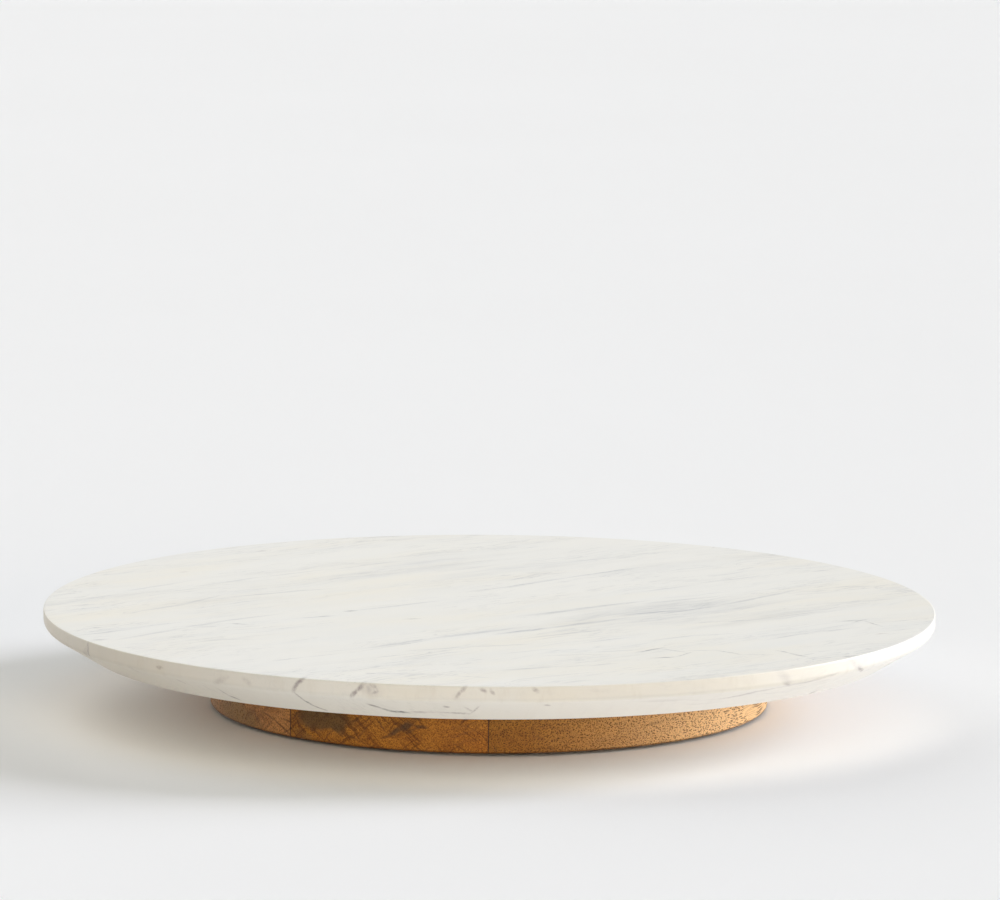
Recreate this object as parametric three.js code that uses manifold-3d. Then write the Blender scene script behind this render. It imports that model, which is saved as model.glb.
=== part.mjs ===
// Lazy susan turntable: a marble disc with a bevelled underside edge that spins on a round wooden base.
// The base is edge-glued from three boards. A pressed-steel thrust bearing lies in a recess of the base: two round plates
// with facing ball races, a ring of balls in a flat cage, and a hollow rivet that holds the plates together.
// The lower plate is screwed to the wood. The upper plate is screwed to threaded inserts that are bonded into the marble,
// and those screws are driven through an access hole in the base and the lower plate.
//
// Millimetres, +Z up. The origin is the centre of the footprint, on the surface that the turntable stands on.
import * as THREE from "three";
import { mergeVertices } from "three/addons/utils/BufferGeometryUtils.js";
import Module from "manifold-3d";

const wasm = await Module();
wasm.setup();

// ---- driving dimensions ----
const TOP_R = 228.6; // marble disc, 18 in across
const TOP_T = 20; // marble thickness
const TOP_EASE = 0.8; // eased arris round the serving face
const BAND_H = 7.2; // upright band of the marble's edge
const BEVEL_R = 207.4; // where the underside bevel ends
const BASE_R = 143.2; // wooden base
const BASE_T = 27; // wooden base thickness
const BASE_EASE = 0.8; // eased edges of the base
const FOOT_H = 1.5; // rubber pads lift the base off the table
const FOOT_R = 9.5;
const FOOT_PITCH_R = 120; // pads lie on this radius, at 45 degrees to the boards
const GAP = 2.5; // running gap between the base and the marble
const BOARD_ANGLE = -15; // the boards' square frame is turned by this about Z, in degrees
const SEAM_1 = -68.4; // glue lines between the boards, across that frame
const SEAM_2 = 37;
const GLUE = 0.12; // width of a glue line
const RECESS_R = 92.5; // bearing recess in the base
const BEARING_H = 8; // height of the whole bearing
const SHEET = 1.2; // plate thickness
const RAISE = 1.5; // how far the race zone stands off the mounting flange
const PLATE_R = 90;
const STEP_OUT_R = 72.5;
const STEP_IN_R = 69.5;
const BALL_R = 2.38; // 3/16 in balls
const PITCH_R = 60; // ball circle
const BALLS = 16;
const RACE_R = 2.9; // groove radius
const CAGE_T = 1;
const CAGE_IN_R = 53;
const CAGE_OUT_R = 67;
const POCKET_R = 2.75;
const SCREW_R = 81; // screws and access hole lie on this radius
const ACCESS_R = 6;
const RIVET_BORE_R = 31;
const RIVET_TUBE_R = 33.6;
const RIVET_FLANGE_R = 39;
const SEGS = 128;

const WOOD_Z0 = FOOT_H;
const WOOD_Z1 = WOOD_Z0 + BASE_T;
const STONE_Z0 = WOOD_Z1 + GAP;
const STONE_Z1 = STONE_Z0 + TOP_T;
const BEARING_Z1 = STONE_Z0;
const BEARING_Z0 = BEARING_Z1 - BEARING_H;
const BALL_Z = (BEARING_Z0 + BEARING_Z1) / 2;
// the grooves leave 0.2 mm over and under a ball
const RACE_DEPTH = BALL_R + 0.2 - (BALL_Z - (BEARING_Z0 + SHEET + RAISE));
const DEG = Math.PI / 180;

// ---- helpers ----
// A closed solid turned about Z from [radius, height] points. The list goes anticlockwise round the section.
function turned(points, segments = SEGS) {
  const onAxis = points[0][0] === 0;
  const profile = points.map(([r, z]) => new THREE.Vector2(r, z));
  if (!onAxis) profile.push(profile[0].clone());
  const g = new THREE.LatheGeometry(profile, segments);
  g.rotateX(Math.PI / 2);
  return g;
}

function solid(geometry) {
  const g = geometry.clone();
  g.deleteAttribute("normal");
  g.deleteAttribute("uv");
  const m = mergeVertices(g, 1e-4);
  const s = new wasm.Manifold(
    new wasm.Mesh({
      numProp: 3,
      vertProperties: new Float32Array(m.attributes.position.array),
      triVerts: new Uint32Array(m.index.array),
    }),
  );
  return s;
}

function geometryOf(s) {
  const m = s.getMesh();
  const g = new THREE.BufferGeometry();
  const n = m.numProp;
  const v = new Float32Array(m.numVert * 3);
  for (let i = 0; i < m.numVert; i++)
    v.set(m.vertProperties.subarray(i * n, i * n + 3), i * 3);
  g.setAttribute("position", new THREE.BufferAttribute(v, 3));
  g.setIndex(new THREE.BufferAttribute(new Uint32Array(m.triVerts), 1));
  g.computeVertexNormals();
  return g;
}

// An upright cylinder from z0 to z1 at (x, y).
function post(x, y, z0, z1, r, segments = 20) {
  const g = new THREE.CylinderGeometry(r, r, z1 - z0, segments);
  g.rotateX(Math.PI / 2);
  g.translate(x, y, (z0 + z1) / 2);
  return g;
}

function drilled(geometry, holes) {
  let s = solid(geometry);
  for (const h of holes) s = s.subtract(solid(h));
  return geometryOf(s);
}

const polar = (r, deg) => [r * Math.cos(deg * DEG), r * Math.sin(deg * DEG)];
const CORNERS = [45, 135, 225, 315];

// ---- materials ----
const marble = new THREE.MeshStandardMaterial({ color: 0xe6e3da, roughness: 0.35, metalness: 0 });
const mango = new THREE.MeshStandardMaterial({ color: 0xa66f38, roughness: 0.6, metalness: 0 });
const zinc = new THREE.MeshStandardMaterial({ color: 0xb9bcbd, roughness: 0.35, metalness: 1 });
const ballSteel = new THREE.MeshStandardMaterial({ color: 0xd0d2d4, roughness: 0.12, metalness: 1 });
const nylon = new THREE.MeshStandardMaterial({ color: 0xe9e6dc, roughness: 0.5, metalness: 0 });
const brass = new THREE.MeshStandardMaterial({ color: 0xb8923f, roughness: 0.35, metalness: 1 });
const rubber = new THREE.MeshStandardMaterial({ color: 0x2b2a29, roughness: 0.8, metalness: 0 });

const base = new THREE.Group();
const turntable = new THREE.Group();
const cageGroup = new THREE.Group();

function add(group, name, geometry, material) {
  const m = new THREE.Mesh(geometry, material);
  m.name = name;
  group.add(m);
  return m;
}

// ---- marble top ----
const INSERT_R = 4;
const INSERT_L = 11;
const insertSpots = [0, 90, 180, 270].map((a) => polar(SCREW_R, a));
{
  const e = TOP_EASE;
  const disc = turned([
    [0, STONE_Z0],
    [BEVEL_R, STONE_Z0],
    [TOP_R - 1.1, STONE_Z1 - BAND_H - 1.3],
    [TOP_R - 0.3, STONE_Z1 - BAND_H - 0.4],
    [TOP_R, STONE_Z1 - BAND_H + 0.9],
    [TOP_R, STONE_Z1 - e],
    [TOP_R - 0.3 * e, STONE_Z1 - 0.3 * e],
    [TOP_R - e, STONE_Z1],
    [0, STONE_Z1],
  ]);
  const sockets = insertSpots.map(([x, y]) =>
    post(x, y, STONE_Z0 - 1, STONE_Z0 + INSERT_L + 1, INSERT_R + 0.25, 16),
  );
  add(turntable, "marble_top", drilled(disc, sockets), marble);
}

// ---- threaded inserts bonded into the marble, and the machine screws of the upper plate ----
const M4_R = 2;
insertSpots.forEach(([x, y], i) => {
  const g = new THREE.CylinderGeometry(INSERT_R, INSERT_R, INSERT_L, 16);
  g.rotateX(Math.PI / 2);
  g.translate(x, y, STONE_Z0 + INSERT_L / 2);
  const bore = post(x, y, STONE_Z0 - 1, STONE_Z0 + INSERT_L - 1.2, M4_R + 0.25, 16);
  add(turntable, "threaded_insert_" + (i + 1), drilled(g, [bore]), brass);

  // pan head below the upper plate, threaded shank up into the insert
  const headZ1 = BEARING_Z1 - SHEET;
  const s = turned(
    [
      [0, headZ1 - 2.2],
      [1.9, headZ1 - 2.2],
      [3.1, headZ1 - 1.8],
      [3.8, headZ1 - 0.9],
      [3.8, headZ1],
      [M4_R, headZ1],
      [M4_R, headZ1 + 9.4],
      [M4_R - 0.6, headZ1 + 10],
      [0, headZ1 + 10],
    ],
    12,
  );
  const slot = new THREE.BoxGeometry(4.6, 0.9, 2.4);
  slot.translate(0, 0, headZ1 - 2.2);
  const cross = new THREE.BoxGeometry(0.9, 4.6, 2.4);
  cross.translate(0, 0, headZ1 - 2.2);
  const g2 = drilled(s, [slot, cross]);
  g2.translate(x, y, 0);
  add(turntable, "plate_screw_" + (i + 1), g2, zinc);
});

// ---- bearing plates ----
// Half of the groove's section, from the lip to the bottom, as [offset from the pitch radius, depth].
function groove(depth, radius, n) {
  const half = Math.sqrt(radius * radius - (radius - depth) * (radius - depth));
  const a = Math.asin(half / radius);
  const pts = [];
  for (let i = -n / 2; i <= n / 2; i++) {
    const t = (a * i) / (n / 2);
    pts.push([radius * Math.sin(t), radius * Math.cos(t) - (radius - depth)]);
  }
  return pts;
}

// The plate's section with its mounting face at height 0, race zone raised by RAISE, and races facing up.
function plateSection(innerR) {
  const top = groove(RACE_DEPTH, RACE_R, 4); // ball side
  const back = groove(RACE_DEPTH, RACE_R + SHEET * 0.8, 2); // pressed through to the back
  const pts = [];
  // back side, from the inner edge outwards
  pts.push([innerR, RAISE]);
  for (const [dx, d] of back) pts.push([PITCH_R + dx, RAISE - Math.max(0, d)]);
  pts.push([STEP_IN_R, RAISE], [STEP_OUT_R, 0], [PLATE_R, 0]);
  // ball side, from the outer edge inwards
  pts.push([PLATE_R, SHEET], [STEP_OUT_R - 0.4, SHEET], [STEP_IN_R - 0.4, SHEET + RAISE]);
  for (const [dx, d] of [...top].reverse())
    pts.push([PITCH_R + dx, SHEET + RAISE - Math.max(0, d)]);
  pts.push([innerR, SHEET + RAISE]);
  return pts;
}

{
  const lower = turned(plateSection(RIVET_TUBE_R + 0.3), 72);
  lower.translate(0, 0, BEARING_Z0);
  const holes = CORNERS.map((a) => {
    const [x, y] = polar(SCREW_R, a);
    return post(x, y, BEARING_Z0 - 1, BEARING_Z0 + 3, 2.1, 16);
  });
  holes.push(post(SCREW_R, 0, BEARING_Z0 - 1, BEARING_Z0 + 3, ACCESS_R, 24));
  add(base, "lower_bearing_plate", drilled(lower, holes), zinc);

  const upper = turned(
    plateSection(RIVET_TUBE_R + 0.9)
      .map(([r, z]) => [r, -z])
      .reverse(),
    72,
  );
  upper.translate(0, 0, BEARING_Z1);
  add(
    turntable,
    "upper_bearing_plate",
    drilled(
      upper,
      insertSpots.map(([x, y]) => post(x, y, BEARING_Z1 - 3, BEARING_Z1 + 1, 2.4, 16)),
    ),
    zinc,
  );
}

// ---- hollow rivet: fixed in the lower plate, its rolled upper flange keeps the upper plate from lifting off ----
{
  const lowFlangeTop = BEARING_Z0 + RAISE - 0.05;
  const upFlangeBottom = BEARING_Z1 - RAISE + 0.25;
  add(
    base,
    "centre_rivet",
    turned(
      [
        [RIVET_BORE_R, lowFlangeTop - 0.9],
        [RIVET_FLANGE_R, lowFlangeTop - 0.9],
        [RIVET_FLANGE_R, lowFlangeTop],
        [RIVET_TUBE_R, lowFlangeTop],
        [RIVET_TUBE_R, upFlangeBottom],
        [RIVET_FLANGE_R - 1, upFlangeBottom],
        [RIVET_FLANGE_R - 0.7, upFlangeBottom + 0.5],
        [RIVET_FLANGE_R - 1, upFlangeBottom + 0.9],
        [RIVET_BORE_R, upFlangeBottom + 0.9],
      ],
      48,
    ),
    zinc,
  );
}

// ---- cage and balls ----
{
  const circle = (x, y, r, n) =>
    Array.from({ length: n }, (_, i) => {
      const t = (2 * Math.PI * i) / n;
      return new THREE.Vector2(x + r * Math.cos(t), y + r * Math.sin(t));
    });
  const ring = new THREE.Shape(circle(0, 0, CAGE_OUT_R, 72));
  ring.holes.push(new THREE.Path(circle(0, 0, CAGE_IN_R, 64)));
  for (let i = 0; i < BALLS; i++) {
    const [x, y] = polar(PITCH_R, (360 / BALLS) * i);
    ring.holes.push(new THREE.Path(circle(x, y, POCKET_R, 16)));
  }
  const g = new THREE.ExtrudeGeometry(ring, { depth: CAGE_T, bevelEnabled: false });
  g.translate(0, 0, BALL_Z - CAGE_T / 2);
  add(cageGroup, "ball_cage", g, nylon);
  for (let i = 0; i < BALLS; i++) {
    const [x, y] = polar(PITCH_R, (360 / BALLS) * i);
    const b = add(
      cageGroup,
      "ball_" + String(i + 1).padStart(2, "0"),
      new THREE.IcosahedronGeometry(BALL_R, 1),
      ballSteel,
    );
    b.position.set(x, y, BALL_Z);
  }
}

// ---- wooden base: three boards glued edge to edge, then turned round and recessed ----
const screwSpots = CORNERS.map((a) => polar(SCREW_R, a));
{
  const e = BASE_EASE;
  const disc = solid(
    turned([
      [0, WOOD_Z0],
      [BASE_R - e, WOOD_Z0],
      [BASE_R, WOOD_Z0 + e],
      [BASE_R, WOOD_Z1 - e],
      [BASE_R - e, WOOD_Z1],
      [0, WOOD_Z1],
    ]),
  );
  const cuts = [post(0, 0, BEARING_Z0, WOOD_Z1 + 5, RECESS_R, 72)];
  cuts.push(post(SCREW_R, 0, WOOD_Z0 - 1, BEARING_Z0 + 1, ACCESS_R, 24));
  for (const [x, y] of screwSpots) cuts.push(post(x, y, BEARING_Z0 - 12.5, BEARING_Z0 + 1, 1.9, 12));
  let wood = disc;
  for (const c of cuts) wood = wood.subtract(solid(c));
  const slab = (x0, x1) => {
    const b = new THREE.BoxGeometry(x1 - x0, 2 * BASE_R + 20, BASE_T + 20);
    b.translate((x0 + x1) / 2, 0, (WOOD_Z0 + WOOD_Z1) / 2);
    return solid(b);
  };
  const far = BASE_R + 5;
  const h = GLUE / 2;
  add(base, "base_board_left", geometryOf(wood.intersect(slab(-far, SEAM_1 - h))), mango);
  add(base, "base_board_middle", geometryOf(wood.intersect(slab(SEAM_1 + h, SEAM_2 - h))), mango);
  add(base, "base_board_right", geometryOf(wood.intersect(slab(SEAM_2 + h, far))), mango);
}

// ---- wood screws of the lower plate ----
screwSpots.forEach(([x, y], i) => {
  const z = BEARING_Z0 + SHEET;
  const s = turned(
    [
      [0, z - 13],
      [0.7, z - 11.6],
      [1.6, z - 9.5],
      [1.6, z],
      [3.6, z],
      [3.6, z + 0.9],
      [2.9, z + 1.6],
      [1.8, z + 1.9],
      [0, z + 1.9],
    ],
    12,
  );
  const slot = new THREE.BoxGeometry(4.2, 0.9, 2);
  slot.translate(0, 0, z + 1.9);
  const cross = new THREE.BoxGeometry(0.9, 4.2, 2);
  cross.translate(0, 0, z + 1.9);
  const g = drilled(s, [slot, cross]);
  g.translate(x, y, 0);
  add(base, "wood_screw_" + (i + 1), g, zinc);
});

// ---- rubber pads ----
CORNERS.forEach((a, i) => {
  const [x, y] = polar(FOOT_PITCH_R, a);
  const g = turned(
    [
      [0, 0],
      [FOOT_R - 0.6, 0],
      [FOOT_R, 0.6],
      [FOOT_R, FOOT_H],
      [0, FOOT_H],
    ],
    24,
  );
  g.translate(x, y, 0);
  add(base, "rubber_foot_" + (i + 1), g, rubber);
});

const lazySusan = new THREE.Group();
lazySusan.add(base, turntable, cageGroup);
lazySusan.rotation.z = BOARD_ANGLE * DEG;
export default lazySusan;
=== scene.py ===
# Lazy susan turntable: a bevelled marble top on a thrust bearing in a round base of edge-glued mango wood.
# Metres, +Z up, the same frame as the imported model.
import math

import bmesh
import bpy
from mathutils import Euler, Matrix, Vector


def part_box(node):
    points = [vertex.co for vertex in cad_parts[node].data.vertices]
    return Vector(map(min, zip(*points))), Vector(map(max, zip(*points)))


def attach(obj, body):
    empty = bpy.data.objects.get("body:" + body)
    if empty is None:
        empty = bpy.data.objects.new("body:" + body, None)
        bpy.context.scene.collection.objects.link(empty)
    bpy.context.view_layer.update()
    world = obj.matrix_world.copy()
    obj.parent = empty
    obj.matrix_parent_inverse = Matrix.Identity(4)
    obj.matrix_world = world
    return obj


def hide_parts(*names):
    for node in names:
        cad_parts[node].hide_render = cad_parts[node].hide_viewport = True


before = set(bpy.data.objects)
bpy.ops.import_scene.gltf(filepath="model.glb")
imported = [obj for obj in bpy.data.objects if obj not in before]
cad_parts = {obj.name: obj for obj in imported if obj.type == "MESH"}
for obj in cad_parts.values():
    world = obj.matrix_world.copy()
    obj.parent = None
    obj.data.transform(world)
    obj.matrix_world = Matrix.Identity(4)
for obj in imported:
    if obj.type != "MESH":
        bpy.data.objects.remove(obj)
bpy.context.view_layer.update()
scene = bpy.context.scene
MM = 0.001

# ---------------------------------------------------------------- sizes, read from the frame
stone_lo, stone_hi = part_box("marble_top")
TOP_R = (stone_hi.x - stone_lo.x) / 2 / MM
STONE_Z0, STONE_Z1 = stone_lo.z / MM, stone_hi.z / MM
wood_lo, wood_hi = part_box("base_board_right")
WOOD_Z0, WOOD_Z1 = wood_lo.z / MM, wood_hi.z / MM
plate_lo, plate_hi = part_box("lower_bearing_plate")
BEARING_Z0 = plate_lo.z / MM
BEARING_Z1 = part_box("upper_bearing_plate")[1].z / MM
BALL_Z = (BEARING_Z0 + BEARING_Z1) / 2
BOARD_ANGLE = -15.0
SEAM_1, SEAM_2 = -68.4, 37.0
BASE_R = 143.2
BEVEL_R = 207.4
BAND_H = 7.2
SCREW_R = 81.0
PITCH_R = 60.0
BALLS = 16
BALL_R = 2.38
SHEET = 1.2
RAISE = 1.5
TURN = Matrix.Rotation(math.radians(BOARD_ANGLE), 4, "Z")


def polar(r, deg):
    a = math.radians(deg)
    return r * math.cos(a), r * math.sin(a)


# ---------------------------------------------------------------- mesh helpers (all in millimetres until finished)
def new_object(name, bm, smooth_angle=30.0):
    bmesh.ops.recalc_face_normals(bm, faces=bm.faces)
    me = bpy.data.meshes.new(name)
    bm.to_mesh(me)
    bm.free()
    me.transform(Matrix.Scale(MM, 4))
    ob = bpy.data.objects.new(name, me)
    scene.collection.objects.link(ob)
    shade(ob, smooth_angle)
    return ob


def shade(ob, smooth_angle=30.0):
    me = ob.data
    me.polygons.foreach_set("use_smooth", [True] * len(me.polygons))
    me.set_sharp_from_angle(angle=math.radians(smooth_angle))
    me.update()


def arc(cx, cz, r, a0, a1, n):
    """Points on an arc in the section plane, from angle a0 to a1 in degrees."""
    return [
        (cx + r * math.cos(math.radians(a0 + (a1 - a0) * i / n)), cz + r * math.sin(math.radians(a0 + (a1 - a0) * i / n)))
        for i in range(n + 1)
    ]


def fillet(prev, corner, nxt, r, n=5):
    """The rounded corner between two straight lines of a section."""
    p, c, q = Vector(prev), Vector(corner), Vector(nxt)
    u, v = (p - c).normalized(), (q - c).normalized()
    half = math.acos(max(-1, min(1, u.dot(v)))) / 2
    t = r / math.tan(half)
    t = min(t, 0.49 * (p - c).length, 0.49 * (q - c).length)
    r = t * math.tan(half)
    centre = c + (u + v).normalized() * (r / math.sin(half))
    a, b = c + u * t - centre, c + v * t - centre
    ang = a.angle_signed(b)
    out = []
    for i in range(n + 1):
        w = a.copy()
        w.rotate(Matrix.Rotation(-ang * i / n, 2))
        out.append(tuple(centre + w))
    return out


def rounded(points, radii, closed=True):
    """A section with each corner rounded by its own radius."""
    out = []
    n = len(points)
    for i, (pt, r) in enumerate(zip(points, radii)):
        if r <= 0:
            out.append(tuple(pt))
        else:
            out += fillet(points[i - 1], pt, points[(i + 1) % n], r)
    return out


def lathe(section, segs):
    """A closed solid turned about Z. The section's first and last points may lie on the axis."""
    bm = bmesh.new()
    rings = []
    for r, z in section:
        if r < 1e-6:
            rings.append([bm.verts.new((0, 0, z))])
        else:
            rings.append([bm.verts.new((*polar(r, 360 * i / segs), z)) for i in range(segs)])
    on_axis = len(rings[0]) == 1 and len(rings[-1]) == 1
    pairs = list(zip(rings, rings[1:])) + ([] if on_axis else [(rings[-1], rings[0])])
    for a, b in pairs:
        for i in range(segs):
            j = (i + 1) % segs
            q = [a[i % len(a)], a[j % len(a)], b[j % len(b)], b[i % len(b)]]
            face = list(dict.fromkeys(q))
            if len(face) > 2:
                bm.faces.new(face)
    return bm


def rod(x, y, z0, z1, r, segs=32):
    """A plain cutter."""
    bm = bmesh.new()
    bmesh.ops.create_cone(bm, cap_ends=True, segments=segs, radius1=r, radius2=r, depth=z1 - z0)
    bmesh.ops.translate(bm, verts=bm.verts, vec=(x, y, (z0 + z1) / 2))
    return bm


def block(x0, x1, y0, y1, z0, z1):
    bm = bmesh.new()
    bmesh.ops.create_cube(bm, size=1)
    bmesh.ops.scale(bm, verts=bm.verts, vec=(x1 - x0, y1 - y0, z1 - z0))
    bmesh.ops.translate(bm, verts=bm.verts, vec=((x0 + x1) / 2, (y0 + y1) / 2, (z0 + z1) / 2))
    return bm


def merged(bms):
    out = bmesh.new()
    for b in bms:
        me = bpy.data.meshes.new("tmp")
        b.to_mesh(me)
        b.free()
        out.from_mesh(me)
        bpy.data.meshes.remove(me)
    return out


def apply_modifiers(ob):
    dg = bpy.context.evaluated_depsgraph_get()
    me = bpy.data.meshes.new_from_object(ob.evaluated_get(dg))
    old = ob.data
    ob.modifiers.clear()
    ob.data = me
    bpy.data.meshes.remove(old)


def cut(ob, cutter_bm, operation="DIFFERENCE", smooth_angle=30.0):
    """Cuts ob by a closed mesh given in millimetres."""
    tool = new_object("cutter", cutter_bm)
    m = ob.modifiers.new("cut", "BOOLEAN")
    m.operation = operation
    m.solver = "EXACT"
    m.object = tool
    bpy.context.view_layer.update()
    apply_modifiers(ob)
    me = tool.data
    bpy.data.objects.remove(tool)
    bpy.data.meshes.remove(me)
    shade(ob, smooth_angle)
    return ob


def soften(ob, width_mm, segments=2, angle=40.0, smooth_angle=30.0):
    """Small rounded arrises."""
    m = ob.modifiers.new("soften", "BEVEL")
    m.width = width_mm * MM
    m.segments = segments
    m.limit_method = "ANGLE"
    m.angle_limit = math.radians(angle)
    m.use_clamp_overlap = True
    bpy.context.view_layer.update()
    apply_modifiers(ob)
    shade(ob, smooth_angle)
    return ob


def place(ob, x=0.0, y=0.0, z=0.0, turn=True):
    """Moves a piece's mesh to (x, y, z) mm in the boards' frame."""
    ob.data.transform(Matrix.Translation((x * MM, y * MM, z * MM)))
    if turn:
        ob.data.transform(TURN)
    return ob


def piece(ob, node, body, material):
    ob.data.materials.clear()
    ob.data.materials.append(material)
    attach(ob, body)
    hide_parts(node)
    return ob


# ---------------------------------------------------------------- node helpers
class Nodes:
    """Builds one material's node tree."""

    def __init__(self, name):
        self.mat = bpy.data.materials.new(name)
        self.mat.use_nodes = True
        self.t = self.mat.node_tree
        self.t.nodes.clear()
        self.out = self.t.nodes.new("ShaderNodeOutputMaterial")
        self.bsdf = self.t.nodes.new("ShaderNodeBsdfPrincipled")
        self.t.links.new(self.bsdf.outputs[0], self.out.inputs[0])

    def link(self, a, b):
        self.t.links.new(a, b)

    def put(self, socket, value):
        if isinstance(value, bpy.types.NodeSocket):
            self.t.links.new(value, socket)
        elif value is not None:
            socket.default_value = value

    def coords(self):
        return self.t.nodes.new("ShaderNodeTexCoord").outputs["Object"]

    def mapping(self, v, loc=(0, 0, 0), rot=(0, 0, 0), scale=(1, 1, 1), kind="POINT"):
        n = self.t.nodes.new("ShaderNodeMapping")
        n.vector_type = kind
        n.inputs["Location"].default_value = loc
        n.inputs["Rotation"].default_value = rot
        n.inputs["Scale"].default_value = scale
        self.link(v, n.inputs["Vector"])
        return n.outputs[0]

    def noise(self, v, scale, detail=3.0, rough=0.5, distortion=0.0, colour=False, lac=2.0):
        n = self.t.nodes.new("ShaderNodeTexNoise")
        n.inputs["Scale"].default_value = scale
        n.inputs["Detail"].default_value = detail
        n.inputs["Roughness"].default_value = rough
        n.inputs["Distortion"].default_value = distortion
        n.inputs["Lacunarity"].default_value = lac
        self.link(v, n.inputs["Vector"])
        return n.outputs["Color" if colour else "Fac"]

    def voronoi(self, v, scale, randomness=1.0, feature="F1", out="Distance", flat=False):
        n = self.t.nodes.new("ShaderNodeTexVoronoi")
        n.voronoi_dimensions = "2D" if flat else "3D"
        n.feature = feature
        n.inputs["Scale"].default_value = scale
        n.inputs["Randomness"].default_value = randomness
        self.link(v, n.inputs["Vector"])
        return n.outputs[out]

    def math(self, op, a, b=0.0, c=None, clamp=False):
        n = self.t.nodes.new("ShaderNodeMath")
        n.operation = op
        n.use_clamp = clamp
        self.put(n.inputs[0], a)
        self.put(n.inputs[1], b)
        if c is not None:
            self.put(n.inputs[2], c)
        return n.outputs[0]

    def vmath(self, op, a, b=None, scale=None):
        n = self.t.nodes.new("ShaderNodeVectorMath")
        n.operation = op
        self.put(n.inputs[0], a)
        if b is not None:
            self.put(n.inputs[1], b)
        if scale is not None:
            n.inputs["Scale"].default_value = scale
        return n.outputs["Value" if op in ("LENGTH", "DOT_PRODUCT", "DISTANCE") else "Vector"]

    def step(self, v, lo, hi, a=0.0, b=1.0):
        """Smooth step from a to b as v goes from lo to hi."""
        n = self.t.nodes.new("ShaderNodeMapRange")
        n.interpolation_type = "SMOOTHSTEP"
        n.inputs["From Min"].default_value = lo
        n.inputs["From Max"].default_value = hi
        n.inputs["To Min"].default_value = a
        n.inputs["To Max"].default_value = b
        self.link(v, n.inputs["Value"])
        return n.outputs["Result"]

    def mix(self, f, a, b, blend="MIX"):
        n = self.t.nodes.new("ShaderNodeMix")
        n.data_type = "RGBA"
        n.blend_type = blend
        n.clamp_factor = True
        self.put(n.inputs[0], f)
        for s, v in ((n.inputs[6], a), (n.inputs[7], b)):
            if isinstance(v, bpy.types.NodeSocket):
                self.link(v, s)
            else:
                s.default_value = (*v, 1.0) if len(v) == 3 else v
        return n.outputs[2]

    def xyz(self, v):
        n = self.t.nodes.new("ShaderNodeSeparateXYZ")
        self.link(v, n.inputs[0])
        return n.outputs[0], n.outputs[1], n.outputs[2]

    def join(self, x, y, z):
        n = self.t.nodes.new("ShaderNodeCombineXYZ")
        for s, v in zip(n.inputs, (x, y, z)):
            self.put(s, v)
        return n.outputs[0]

    def normal_z(self):
        g = self.t.nodes.new("ShaderNodeNewGeometry")
        return self.xyz(g.outputs["Normal"])[2]

    def bump(self, height, distance, strength=1.0, normal=None):
        n = self.t.nodes.new("ShaderNodeBump")
        n.inputs["Strength"].default_value = strength
        n.inputs["Distance"].default_value = distance
        self.link(height, n.inputs["Height"])
        if normal is not None:
            self.link(normal, n.inputs["Normal"])
        return n.outputs[0]

    def spot(self, v, loc, rot, radii, inner, strength, so_far=None):
        """An ellipsoid's soft mask, combined with what came before by the larger value."""
        n = self.mapping(v, loc, rot, radii, kind="TEXTURE")
        m = self.step(self.vmath("LENGTH", n), inner, 1.0, strength, 0.0)
        return m if so_far is None else self.math("MAXIMUM", so_far, m)

    def finish(self, colour, roughness, bump=None, **fixed):
        self.put(self.bsdf.inputs["Base Color"], colour if isinstance(colour, bpy.types.NodeSocket) else (*colour, 1.0))
        self.put(self.bsdf.inputs["Roughness"], roughness)
        if bump is not None:
            self.link(bump, self.bsdf.inputs["Normal"])
        for k, v in fixed.items():
            self.bsdf.inputs[k.replace("_", " ")].default_value = v
        return self.mat


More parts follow.
